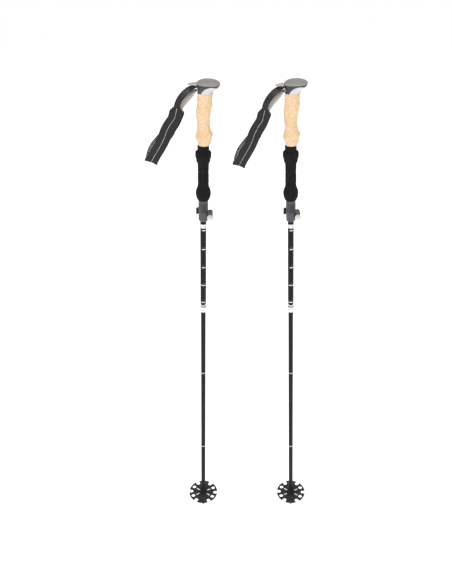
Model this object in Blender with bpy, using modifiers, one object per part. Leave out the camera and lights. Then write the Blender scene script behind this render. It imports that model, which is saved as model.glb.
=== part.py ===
"""A pair of five-section folding trekking poles with cork grips, standing on their tips."""

import math

import bmesh
import bpy
from mathutils import Matrix, Vector

MM = 0.001

# Stance: each pole leans its grip inwards, so the pair stands as an open V.
TIP_HALF_SPREAD = 136.1
SPLAY_DEG = 2.054
CENTRE_SHIFT_X = 23.395
TIP_FLAT_R = 1.2

# Heights up one pole, in millimetres from the end of the tip.
TIP_TOP = 20.0
HOLDER_BOTTOM = 10.0
HOLDER_TOP = 75.0
BASKET_Z = 57.6
JOINT_B_Z = 260.0
JOINT_A_Z = 534.0
INNER_TOP = 800.0
BUTTON_Z = 764.0
WHITE_COLLAR = (731.5, 746.7)
GRADUATED = (747.0, 1052.0)
BUSHING = (986.2, 996.0)
COLLAR = (985.5, 1038.0)
CLAMP_Z = 998.0
FOAM_BOTTOM = 1038.4
CORK = (1167.0, 1279.0)
HEAD_BOTTOM = 1279.3

# Radii, in millimetres.
GRAD_R = 7.0
GRAD_BORE = 6.4
TUBE_R = 6.0
TUBE_BORE = 5.2
HANDLE_R = 8.4
HANDLE_BORE = 7.6
SLEEVE_BORE = 8.8
CLAMP_R = 11.0
CORD_R = 1.2
CORD_BORE = 1.7

# Clamp: cross bolt and lever barrel.
BOLT_X = 15.5
BOLT_R = 1.5
BARREL_Y = 11.2
BARREL_R = 3.0
KNOB_R = 7.2

# Strap.
PIN_X = -11.0
PIN_Z = 1287.5
PIN_R = 1.6
STRAP_T = 2.4
LEVER_RISE = 9.0

# Snow basket.
BASKET_R = 42.5
BASKET_TURN_DEG = -3.0
BASKET_TOE_DEG = 1.2

STEPS = 18

for old in list(bpy.data.objects):
    bpy.data.objects.remove(old, do_unlink=True)

scene = bpy.context.scene
PARTS = bpy.data.collections.new("trekking_poles")
CUTTERS = bpy.data.collections.new("cutters")
scene.collection.children.link(PARTS)
scene.collection.children.link(CUTTERS)


def put(name, verts, edges, faces, frame, at=(0, 0, 0), turn=None, cutter=False):
    """One mesh object; verts are in its own turned frame, in millimetres."""
    mesh = bpy.data.meshes.new(name)
    mesh.from_pydata([Vector(v) * MM for v in verts], edges, faces)
    obj = bpy.data.objects.new(name, mesh)
    (CUTTERS if cutter else PARTS).objects.link(obj)
    obj.parent = frame
    obj.location = Vector(at) * MM
    if turn is not None:
        obj.rotation_euler = turn
    if cutter:
        obj.hide_render = True
        obj.display_type = "WIRE"
    return obj


def fix_normals(obj):
    bm = bmesh.new()
    bm.from_mesh(obj.data)
    bmesh.ops.recalc_face_normals(bm, faces=bm.faces)
    bm.to_mesh(obj.data)
    bm.free()
    return obj


def turned(name, profile, frame, closed=False, at=(0, 0, 0), turn=None, steps=STEPS, cutter=False):
    """A turned body: the profile (radius, height) runs down the outer side."""
    verts = [(r, 0, z) for r, z in profile]
    edges = [(i, i + 1) for i in range(len(verts) - 1)]
    if closed:
        edges.append((len(verts) - 1, 0))
    obj = put(name, verts, edges, [], frame, at, turn, cutter)
    mod = obj.modifiers.new("turn", "SCREW")
    mod.axis = "Z"
    mod.steps = steps
    mod.render_steps = steps
    mod.use_merge_vertices = True
    mod.merge_threshold = 0.00001
    mod.use_smooth_shade = True
    return obj


def tube(name, outer, bore, low, high, frame, at_z=0.0, steps=STEPS):
    profile = [(outer, high - at_z), (outer, low - at_z), (bore, low - at_z), (bore, high - at_z)]
    return turned(name, profile, frame, closed=True, at=(0, 0, at_z), steps=steps)


def rod(name, radius, low, high, frame, at=(0, 0, 0), turn=None, steps=STEPS, cutter=False):
    obj = put(name, [], [], [], frame, at, turn, cutter)
    bm = bmesh.new()
    middle = Matrix.Translation((0, 0, (low + high) / 2 * MM))
    bmesh.ops.create_cone(bm, cap_ends=True, segments=steps, radius1=radius * MM,
                          radius2=radius * MM, depth=(high - low) * MM, matrix=middle)
    bm.to_mesh(obj.data)
    bm.free()
    return obj


def box(name, low, high, frame, at=(0, 0, 0), turn=None, cutter=True):
    obj = put(name, [], [], [], frame, at, turn, cutter)
    bm = bmesh.new()
    size = [(high[i] - low[i]) * MM for i in range(3)]
    middle = [(high[i] + low[i]) / 2 * MM for i in range(3)]
    place = Matrix.Translation(middle) @ Matrix.Diagonal((*size, 1.0))
    bmesh.ops.create_cube(bm, size=1.0, matrix=place)
    bm.to_mesh(obj.data)
    bm.free()
    return obj


def combine(obj, other, operation="DIFFERENCE"):
    mod = obj.modifiers.new(operation.lower(), "BOOLEAN")
    mod.operation = operation
    mod.solver = "EXACT"
    mod.object = other
    return obj


def ring(z, x_left, x_right, y_half, count, power):
    """One rounded outline of a hand-shaped piece."""
    centre = (x_left + x_right) / 2
    half = (x_right - x_left) / 2
    points = []
    for k in range(count):
        a = 2 * math.pi * k / count
        c = math.cos(a)
        s = math.sin(a)
        x = centre + half * math.copysign(abs(c) ** (2 / power), c)
        y = y_half * math.copysign(abs(s) ** (2 / power), s)
        points.append((x, y, z))
    return points


def loft(name, sections, frame, bore=None, count=STEPS, power=2.15, at=(0, 0, 0), cutter=False):
    """A body lofted up through outlines, solid or round a straight bore."""
    verts = []
    for z, x_left, x_right, y_half in sections:
        verts += ring(z, x_left, x_right, y_half, count, power)
    last = (len(sections) - 1) * count
    faces = []
    for i in range(len(sections) - 1):
        for j in range(count):
            k = (j + 1) % count
            faces.append((i * count + j, i * count + k, (i + 1) * count + k, (i + 1) * count + j))
    if bore is None:
        faces.append(tuple(reversed(range(count))))
        faces.append(tuple(range(last, last + count)))
    else:
        low = len(verts)
        verts += ring(sections[0][0], -bore, bore, bore, count, 2.0)
        high = len(verts)
        verts += ring(sections[-1][0], -bore, bore, bore, count, 2.0)
        for j in range(count):
            k = (j + 1) % count
            faces.append((j, low + j, low + k, k))
            faces.append((low + j, high + j, high + k, low + k))
            faces.append((high + j, last + j, last + k, high + k))
    verts = [(x - at[0], y - at[1], z - at[2]) for x, y, z in verts]
    return fix_normals(put(name, verts, [], faces, frame, at=at, cutter=cutter))


def catmull(points, t):
    """A smooth curve through control points, t from 0 to 1."""
    spans = len(points) - 1
    u = min(max(t, 0.0), 1.0) * spans
    i = min(int(u), spans - 1)
    f = u - i
    p1 = Vector(points[i])
    p2 = Vector(points[i + 1])
    p0 = Vector(points[i - 1]) if i > 0 else p1 * 2 - p2
    p3 = Vector(points[i + 2]) if i + 2 <= spans else p2 * 2 - p1
    return 0.5 * (2 * p1 + (p2 - p0) * f + (2 * p0 - 5 * p1 + 4 * p2 - p3) * f * f
                  + (3 * p1 - p0 - 3 * p2 + p3) * f ** 3)


NEAR = [(-14.6, 0, 1290.9), (-24.5, -1.0, 1288.0), (-36.5, -2.5, 1279.3), (-47.0, -4.0, 1267.0),
        (-52.8, -5.5, 1255.5), (-56.0, -6.5, 1241.0), (-60.5, -7.5, 1225.3), (-70.8, -8.0, 1209.7),
        (-77.8, -8.0, 1196.2), (-82.2, -8.0, 1184.0), (-89.3, -8.0, 1169.2), (-98.5, -7.0, 1152.7),
        (-106.0, -5.5, 1140.0), (-112.5, -4.2, 1127.5)]
FAR = [(-112.0, 2.2, 1128.0), (-109.0, 4.6, 1141.5), (-102.5, 7.0, 1156.0), (-90.5, 8.5, 1171.0),
       (-78.5, 9.0, 1184.5), (-72.0, 9.0, 1197.0), (-63.5, 9.0, 1210.5), (-57.5, 8.6, 1224.0),
       (-53.0, 8.0, 1236.0), (-48.0, 6.5, 1247.0), (-39.5, 4.5, 1258.5), (-31.0, 2.5, 1268.5),
       (-22.5, 0.8, 1277.5), (-15.0, 0, 1283.2)]
TWIST = [(0.0, 4.0), (0.05, 22.0), (0.12, 55.0), (0.25, 92.0), (0.4, 106.0), (1.0, 110.0)]


def strap_width(t):
    """Half width: narrow webbing near the head, padded and wide below."""
    return 7.0 + 7.4 * min(max((t - 0.34) / 0.05, 0.0), 1.0)


def strap_twist(t):
    for (a, low), (b, high) in zip(TWIST, TWIST[1:]):
        if t <= b:
            return math.radians(low + (high - low) * (t - a) / (b - a))
    return math.radians(TWIST[-1][1])


def strap_across(down, t):
    """Direction across the band where it runs down along the given direction."""
    flat = Vector((down.x, 0, down.z)).normalized()
    outer = Vector((flat.z, 0, -flat.x))
    phi = strap_twist(t)
    across = Vector((0, 1, 0)) * math.cos(phi) + outer * math.sin(phi)
    return (across - down * across.dot(down)).normalized()


def strap_path(fine=24):
    """Stations of the wrist loop: centre, half width and direction across, all the way round."""
    stations = []
    for k in range(fine + 1):
        t = k / fine
        ahead = catmull(NEAR, min(t + 0.01, 1.0)) - catmull(NEAR, max(t - 0.01, 0.0))
        stations.append((catmull(NEAR, t), strap_width(t), strap_across(ahead.normalized(), t)))
    # The loop folds over tightly at its lower end.
    a = Vector(NEAR[-1])
    b = Vector(FAR[0])
    down = (a - Vector(NEAR[-2])).normalized()
    across = strap_across(down, 1.0)
    for k in range(1, 6):
        s = math.pi * k / 6
        bulge = down * 3.4 * math.sin(s)
        stations.append(((a + b) / 2 + (a - b) / 2 * math.cos(s) + bulge, strap_width(1.0), across))
    for k in range(fine + 1):
        t = 1 - k / fine
        ahead = catmull(FAR, max(k / fine - 0.01, 0.0)) - catmull(FAR, min(k / fine + 0.01, 1.0))
        stations.append((catmull(FAR, k / fine), strap_width(t), strap_across(ahead.normalized(), t)))
    # Round the head pin.
    for k in range(1, 7):
        s = math.radians(-115 + 212 * k / 6)
        radius = PIN_R + 0.6 + STRAP_T / 2
        point = Vector((PIN_X + radius * math.cos(s), 0, PIN_Z + radius * math.sin(s)))
        stations.append((point, 7.0, Vector((0, 1, 0))))
    return stations


def strap(name, frame):
    """The wrist loop: flat webbing passed round the head pin and twisted to hang flat."""
    stations = strap_path()
    count = len(stations)
    origin = Vector((PIN_X, 0, PIN_Z))
    verts = []
    for i, (centre, half, across) in enumerate(stations):
        tangent = (stations[(i + 1) % count][0] - stations[i - 1][0]).normalized()
        across = (across - tangent * across.dot(tangent)).normalized()
        normal = tangent.cross(across).normalized()
        for sx, sn in ((-1, -1), (1, -1), (1, 1), (-1, 1)):
            p = centre + across * (half * sx) + normal * (STRAP_T / 2 * sn) - origin
            verts.append(tuple(p))
    faces = []
    for i in range(count):
        k = (i + 1) % count
        for j in range(4):
            m = (j + 1) % 4
            faces.append((i * 4 + j, i * 4 + m, k * 4 + m, k * 4 + j))
    return fix_normals(put(name, verts, [], faces, frame, at=origin))


def grip_parts(side, frame):
    """The handle: cork over foam over a carrying tube, with a padded head."""
    cork_shape = [(CORK[0], -11.5, 13.9, 12.6), (1173, -12.5, 16.4, 13.4), (1179, -15.0, 17.8, 14.1),
                  (1184.6, -17.4, 19.0, 14.6), (1191, -15.9, 21.0, 14.3), (1198, -13.9, 17.2, 13.5),
                  (1206, -13.0, 14.9, 13.0), (1216, -13.4, 13.9, 13.3), (1227, -14.6, 14.4, 14.0),
                  (1239, -15.3, 16.2, 14.3), (1248, -14.3, 18.0, 14.1), (1255, -13.4, 19.4, 13.9),
                  (1262, -13.0, 18.7, 13.9), (1270, -12.8, 19.2, 14.2), (CORK[1], -13.0, 19.6, 14.5)]
    loft(side + "cork_grip", cork_shape, frame, bore=SLEEVE_BORE)

    foam = [(12.6, 1166.7), (12.7, 1156), (13.8, 1153.4), (16.8, 1151.4), (17.4, 1146.5),
            (17.1, 1140), (15.8, 1136.6), (15.0, 1130.5), (13.2, 1126), (12.3, 1122.5),
            (12.1, 1107), (11.4, 1105), (12.1, 1103), (12.3, 1079), (11.6, 1077), (12.4, 1075),
            (12.9, 1069.5), (15.0, 1065), (16.6, 1059), (16.9, 1053.5), (16.0, 1046.8),
            (14.1, 1041.5), (12.6, FOAM_BOTTOM), (SLEEVE_BORE, FOAM_BOTTOM), (SLEEVE_BORE, 1166.7)]
    turned(side + "foam_grip", foam, frame, closed=True)

    tube(side + "upper_tube", HANDLE_R, HANDLE_BORE, 996.4, 1275.0, frame)

    head = [(HEAD_BOTTOM, -13.0, 19.6, 14.5), (1285, -13.6, 24.4, 15.4), (1291, -14.1, 31.2, 16.5),
            (1295.6, -14.0, 35.0, 17.0)]
    core = loft(side + "head_core", head, frame, power=2.05)
    trim = loft(side + "head_trim", head, frame, power=2.05)
    lay = (math.radians(90), 0, 0)
    wheel = rod(side + "cut_trim_round", 22.8, -30, 30, frame, at=(17, 0, 1271), turn=lay,
                steps=36, cutter=True)
    block = box(side + "cut_trim_block", (-30, -8.7, -30), (4.0, 8.7, 30), frame, at=(16, 0, 1285))
    combine(wheel, block)
    combine(core, wheel)
    wheel_small = rod(side + "keep_trim_round", 22.45, -30, 30, frame, at=(17, 0, 1271), turn=lay,
                      steps=36, cutter=True)
    block_big = box(side + "keep_trim_block", (-30, -9.0, -30), (4.3, 9.0, 30), frame,
                    at=(16, 0, 1285))
    combine(wheel_small, block_big)
    combine(trim, wheel_small, "INTERSECT")
    plug = rod(side + "add_core_plug", 7.2, 1264.5, 1281.0, frame, cutter=True)
    combine(core, plug, "UNION")
    recess = rod(side + "cut_recess", 6.4, -10.3, 10.3, frame, at=(PIN_X, 0, PIN_Z), turn=lay,
                 cutter=True)
    mouth = box(side + "cut_mouth", (-12, -10.3, -8.4), (-0.5, 10.3, 5.6), frame,
                at=(PIN_X, 0, PIN_Z))
    pin_bore = rod(side + "cut_pin_bore", PIN_R + 0.35, -30, 30, frame, at=(PIN_X, 0, PIN_Z),
                   turn=lay, cutter=True)
    combine(core, recess)
    combine(core, mouth)
    combine(core, pin_bore)
    rod(side + "strap_pin", PIN_R, -13.2, 13.2, frame, at=(PIN_X, 0, PIN_Z), turn=lay, steps=12)

    pad = [(1295.9, -14.0, 35.0, 17.0), (1298.6, -13.9, 34.9, 16.9), (1301.4, -12.4, 33.4, 15.9),
           (1304.2, -8.4, 29.6, 13.2), (1306.2, -2.4, 23.4, 9.2), (1307.1, 4.6, 16.6, 4.6)]
    loft(side + "head_pad", pad, frame, power=2.05)

    verts = [(-14.6, -8.0, 1295.6), (-14.6, 8.0, 1295.6), (-14.6, 8.0, 1299.4), (-14.6, -8.0, 1299.4),
             (-32.0, -5.0, 1294.4), (-32.0, 5.0, 1294.4), (-32.0, 5.0, 1295.8), (-32.0, -5.0, 1295.8)]
    faces = [(0, 1, 2, 3), (7, 6, 5, 4), (0, 4, 5, 1), (1, 5, 6, 2), (2, 6, 7, 3), (3, 7, 4, 0)]
    fix_normals(put(side + "strap_wedge", verts, [], faces, frame))
    strap(side + "wrist_strap", frame)


def clamp_parts(side, frame):
    """The lever clamp: split collar, cross bolt, thumb knob and cam lever."""
    collar_profile = [(CLAMP_R - 0.8, COLLAR[1]), (CLAMP_R, COLLAR[1] - 1.0), (CLAMP_R, 991.0),
                      (10.3, 987.2), (9.4, COLLAR[0]), (SLEEVE_BORE, COLLAR[0]),
                      (SLEEVE_BORE, COLLAR[1])]
    collar = turned(side + "clamp_collar", collar_profile, frame, closed=True)
    ears = box(side + "add_ears", (9.2, -5.5, 990), (21.5, 5.5, 1006), frame)
    combine(collar, ears, "UNION")
    slit = box(side + "cut_slit", (3, -1.2, 970), (30, 1.2, 1012), frame)
    combine(collar, slit)
    across = (math.radians(90), 0, 0)
    bolt_bore = rod(side + "cut_bolt_bore", BOLT_R + 0.4, -9, 9, frame, at=(BOLT_X, 0, CLAMP_Z),
                    turn=across, steps=12, cutter=True)
    combine(collar, bolt_bore)
    for k, z in enumerate((1015.0, 1022.0)):
        groove = turned(side + "cut_rib_%d" % k,
                        [(12.5, z + 0.9), (12.5, z - 0.9), (10.35, z - 0.6), (10.35, z + 0.6)],
                        frame, closed=True, cutter=True)
        keep = box(side + "keep_rib_%d" % k, (-20, -20, z - 3), (20, 2, z + 3), frame,
                   turn=(0, 0, math.radians(35)))
        combine(groove, keep, "INTERSECT")
        combine(collar, groove)

    tube(side + "clamp_bushing", HANDLE_R, 7.4, BUSHING[0], BUSHING[1], frame)
    rod(side + "clamp_bolt", BOLT_R, -13.4, 11.2, frame, at=(BOLT_X, 0, CLAMP_Z), turn=across,
        steps=12)

    barrel = rod(side + "lever_pin", BARREL_R, -7.0, 7.0, frame, at=(BOLT_X, BARREL_Y, CLAMP_Z),
                 steps=24)
    cross = rod(side + "cut_barrel", BOLT_R + 0.4, -6, 6, frame, at=(BOLT_X, BARREL_Y, CLAMP_Z),
                turn=across, steps=12, cutter=True)
    combine(barrel, cross)

    knob_profile = [(0, 12.6), (KNOB_R - 1.4, 12.6), (KNOB_R, 11.6), (KNOB_R, 8.6),
                    (KNOB_R - 0.9, 7.7), (BOLT_R + 0.4, 7.7), (BOLT_R + 0.4, 11.7), (0, 11.7)]
    turned(side + "clamp_knob", knob_profile, frame, at=(BOLT_X, 0, CLAMP_Z), turn=across, steps=24)

    # The lever wraps behind the collar from the barrel round to a thumb tab on the left.
    pivot = (BOLT_X, BARREL_Y, CLAMP_Z)
    outline_out = []
    outline_in = []
    for k in range(13):
        a = math.radians(44 + 124 * k / 12)
        tab = max(0.0, (k - 8) / 4)
        outline_out.append(((15.2 + 2.0 * tab) * math.cos(a), (15.2 + 2.0 * tab) * math.sin(a)))
        outline_in.append(((12.1 + 0.6 * tab) * math.cos(a), (12.1 + 0.6 * tab) * math.sin(a)))
    outline = outline_out + outline_in[::-1]
    count = len(outline)
    rise = [LEVER_RISE * min(max((k - 2) / 8, 0.0), 1.0) for k in range(13)]
    rise += rise[::-1]
    verts = [(p[0] - pivot[0], p[1] - pivot[1], up - 7.5) for p, up in zip(outline, rise)]
    verts += [(p[0] - pivot[0], p[1] - pivot[1], up + 7.5) for p, up in zip(outline, rise)]
    faces = []
    for k in range(12):
        lower = (k, k + 1, count - 2 - k, count - 1 - k)
        faces.append(tuple(reversed(lower)))
        faces.append(tuple(v + count for v in lower))
    for k in range(count):
        m = (k + 1) % count
        faces.append((k, m, m + count, k + count))
    lever = fix_normals(put(side + "clamp_lever", verts, [], faces, frame, at=pivot))
    cam = rod(side + "add_cam", 5.3, -7.5, 7.5, frame, at=pivot, steps=20, cutter=True)
    combine(lever, cam, "UNION")
    barrel_bore = rod(side + "cut_lever_bore", BARREL_R + 0.4, -9, 9, frame, at=pivot, steps=24,
                      cutter=True)
    combine(lever, barrel_bore)
    slot = rod(side + "cut_lever_slot", 8.0, -3.5, 3.5, frame, at=pivot, steps=20, cutter=True)
    combine(lever, slot)


def shaft_parts(side, frame):
    """The graduated tube that slides in the handle, and the tube it stows."""
    grad = tube(side + "graduated_tube", GRAD_R, GRAD_BORE, GRADUATED[0], GRADUATED[1], frame,
                at_z=GRADUATED[0])
    plug = [(0, 1060), (6.6, 1060), (7.25, 1059.2), (7.25, 1052.3), (6.1, 1052.3), (6.1, 1042),
            (0, 1042)]
    turned(side + "tube_plug", plug, frame)
    tube(side + "end_collar", 7.4, 6.35, WHITE_COLLAR[0], WHITE_COLLAR[1], frame)
    inner = tube(side + "top_section", TUBE_R, TUBE_BORE, JOINT_A_Z + 0.2, INNER_TOP, frame)
    back = (math.radians(-90), 0, 0)
    hole_a = rod(side + "cut_button_outer", 2.6, 3, 12, frame, at=(0, 0, BUTTON_Z), turn=back,
                 steps=12, cutter=True)
    combine(grad, hole_a)
    combine(inner, hole_a)
    button = [(0, 8.4), (1.5, 8.3), (2.0, 7.7), (2.2, 7.0), (2.2, 3.7), (2.9, 3.7), (2.9, 2.6),
              (0, 2.6)]
    turned(side + "release_button", button, frame, at=(0, 0, BUTTON_Z), turn=back, steps=12)


def fold_parts(side, frame, z, tag, cord_name):
    """The spigot of a folding joint, with the tension cord through it."""
    spigot = [(CORD_BORE, z + 9.0), (2.5, z + 9.0), (4.1, z + 5.0), (4.7, z - 0.1), (6.35, z - 0.1),
              (6.35, z - 2.1), (4.8, z - 2.1), (4.8, z - 14.0), (CORD_BORE, z - 14.0)]
    turned(side + "spigot_" + tag, spigot, frame, closed=True, at=(0, 0, 0))
    rod(side + cord_name, CORD_R, z - 19.0, z + 22.0, frame, steps=12)


def lower_parts(side, frame):
    fold_parts(side, frame, JOINT_A_Z, "a", "cord_a")
    tube(side + "middle_section", TUBE_R, TUBE_BORE, JOINT_B_Z + 0.2, JOINT_A_Z - 2.4, frame)
    fold_parts(side, frame, JOINT_B_Z, "b", "cord_b")
    tube(side + "bottom_section", TUBE_R, TUBE_BORE, 62.3, JOINT_B_Z - 2.4, frame)
    holder = [(0, 62.0), (6.35, 62.0), (6.35, HOLDER_TOP), (6.9, HOLDER_TOP), (7.0, 69.2),
              (8.6, 68.4), (8.6, 65.4), (7.0, 65.1), (7.0, 50.0), (6.2, 46.0), (5.2, 30.0),
              (3.6, 13.0), (3.2, HOLDER_BOTTOM), (2.3, HOLDER_BOTTOM), (2.3, 22.0), (0, 22.0)]
    turned(side + "tip_holder", holder, frame)
    tip = [(0, TIP_TOP), (1.9, TIP_TOP), (1.9, 2.2), (TIP_FLAT_R, 0.0), (0, 0)]
    turned(side + "carbide_tip", tip, frame, steps=16)


def basket(side, frame):
    """A six-lobed snow basket round the tip holder."""
    z = BASKET_Z
    plate = [(0, z + 1.3), (41.3, z + 1.3), (BASKET_R, z + 1.9), (BASKET_R, z - 1.1), (41.3, z - 1.1),
             (0, z - 1.1)]
    body = turned(side + "snow_basket", plate, frame, at=(0, 0, 0), steps=36)
    toe = BASKET_TOE_DEG if side == "left_" else -BASKET_TOE_DEG
    for k in range(6):
        a = math.radians(60 * k + BASKET_TURN_DEG + toe)
        notch = rod(side + "cut_notch_%d" % k, 5.6, z - 9, z + 9, frame, cutter=True, steps=10,
                    at=(36 * math.cos(a), 36 * math.sin(a), 0))
        combine(body, notch)
        mouth = box(side + "cut_notch_mouth_%d" % k, (36, -5.6, z - 9), (50, 5.6, z + 9), frame,
                    turn=(0, 0, a))
        combine(body, mouth)
        if k in (1, 4):
            continue
        b = a + math.radians(30)
        hole = rod(side + "cut_lobe_%d" % k, 5.2, z - 9, z + 9, frame, cutter=True, steps=10,
                   at=(33.2 * math.cos(b), 33.2 * math.sin(b), 0))
        combine(body, hole)
        slot = box(side + "cut_slot_%d" % k, (12.6, -1.7, z - 9), (24.4, 1.7, z + 9), frame,
                   turn=(0, 0, b))
        combine(body, slot)
    hub = rod(side + "add_hub", 10.4, 49.8, 64.9, frame, cutter=True, steps=STEPS)
    combine(body, hub, "UNION")
    bore = rod(side + "cut_hub_bore", 7.4, 40, 80, frame, cutter=True, steps=STEPS)
    combine(body, bore)


def material(obj, colour, rough, metal=0.0):
    mat = bpy.data.materials.new(obj.name)
    mat.use_nodes = True
    shader = mat.node_tree.nodes["Principled BSDF"]
    shader.inputs["Base Color"].default_value = (*colour, 1.0)
    shader.inputs["Roughness"].default_value = rough
    shader.inputs["Metallic"].default_value = metal
    obj.data.materials.append(mat)


LOOKS = (("cork", (0.82, 0.58, 0.36), 0.8, 0.0), ("foam", (0.025, 0.025, 0.027), 0.9, 0.0),
         ("head_pad", (0.35, 0.34, 0.32), 0.6, 0.0), ("head_trim", (0.55, 0.57, 0.6), 0.4, 0.3),
         ("head_core", (0.07, 0.07, 0.08), 0.5, 0.0), ("wedge", (0.5, 0.48, 0.45), 0.6, 0.0),
         ("strap_pin", (0.4, 0.4, 0.4), 0.3, 1.0), ("strap", (0.03, 0.03, 0.035), 0.8, 0.0),
         ("knob", (0.6, 0.57, 0.53), 0.3, 1.0), ("bolt", (0.5, 0.5, 0.5), 0.3, 1.0),
         ("lever_pin", (0.5, 0.5, 0.5), 0.3, 1.0), ("collar", (0.09, 0.09, 0.1), 0.5, 0.0),
         ("end_", (0.8, 0.8, 0.8), 0.5, 0.0), ("spigot", (0.75, 0.75, 0.75), 0.3, 0.6),
         ("tip", (0.4, 0.4, 0.4), 0.3, 1.0), ("cord", (0.5, 0.1, 0.05), 0.7, 0.0))


for side, sign in (("left_", -1.0), ("right_", 1.0)):
    frame = bpy.data.objects.new(side + "frame", None)
    PARTS.objects.link(frame)
    lift = TIP_FLAT_R * math.sin(math.radians(SPLAY_DEG))
    frame.location = ((sign * TIP_HALF_SPREAD + CENTRE_SHIFT_X) * MM, 0, lift * MM)
    frame.rotation_euler = (0, math.radians(-sign * SPLAY_DEG), 0)
    grip_parts(side, frame)
    clamp_parts(side, frame)
    shaft_parts(side, frame)
    lower_parts(side, frame)
    basket(side, frame)

for obj in list(PARTS.objects):
    if obj.type != "MESH":
        continue
    look = ("", (0.03, 0.03, 0.032), 0.4, 0.0)
    for entry in LOOKS:
        if entry[0] in obj.name:
            look = entry
            break
    material(obj, look[1], look[2], look[3])
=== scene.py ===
"""The finished look of a pair of folding trekking poles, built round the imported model."""

import math

import bmesh
import bpy
from mathutils import Matrix, Vector


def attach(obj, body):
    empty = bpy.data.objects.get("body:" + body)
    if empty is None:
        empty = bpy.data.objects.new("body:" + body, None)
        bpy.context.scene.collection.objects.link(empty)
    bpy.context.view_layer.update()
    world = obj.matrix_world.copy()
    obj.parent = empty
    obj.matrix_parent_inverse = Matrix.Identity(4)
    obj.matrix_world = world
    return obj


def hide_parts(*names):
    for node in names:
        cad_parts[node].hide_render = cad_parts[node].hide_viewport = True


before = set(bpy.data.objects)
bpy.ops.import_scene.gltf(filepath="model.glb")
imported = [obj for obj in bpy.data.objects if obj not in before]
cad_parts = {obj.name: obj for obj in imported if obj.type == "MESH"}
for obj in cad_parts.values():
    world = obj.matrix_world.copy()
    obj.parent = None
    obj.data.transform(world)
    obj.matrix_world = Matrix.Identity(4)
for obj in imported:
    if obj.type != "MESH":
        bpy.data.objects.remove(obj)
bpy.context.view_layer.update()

MM = 0.001
SPLAY = math.radians(2.054)
TIP_HALF_SPREAD = 136.1
CENTRE_SHIFT_X = 23.395
PIN = Vector((-11.0, 0.0, 1287.5))
STRAP_STEPS = 96
FOLD_STEPS = 11
PIN_STEPS = 12
BOLT = (15.5, 998.0)
BARREL_Y = 11.2
LEVER_RISE = 9.0
RIB_COUNT = 8
RIB_LOW = 1010.0
RIB_PITCH = 2.8
BUTTON_Z = 764.0
BASKET_TURN = -3.0
CLOSED_LOBES = (1, 4)
BASKET_TOE = {"left_": 1.2, "right_": -1.2}
LOCAL = Matrix.Scale(MM, 4)
SKY_LIGHT = 0.55


def pole_matrix(sign):
    """Millimetres up one pole, from its tip, to metres in the row frame."""
    place = Matrix.Translation((sign * TIP_HALF_SPREAD + CENTRE_SHIFT_X, 0, 1.2 * math.sin(SPLAY)))
    return Matrix.Scale(MM, 4) @ place @ Matrix.Rotation(-sign * SPLAY, 4, "Y")


# ---------------------------------------------------------------- materials

def srgb(code):
    """Linear colour of a hex sRGB value."""
    out = []
    for k in (0, 2, 4):
        c = int(code[k:k + 2], 16) / 255
        out.append(c / 12.92 if c <= 0.04045 else ((c + 0.055) / 1.055) ** 2.4)
    return (*out, 1.0)


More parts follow.
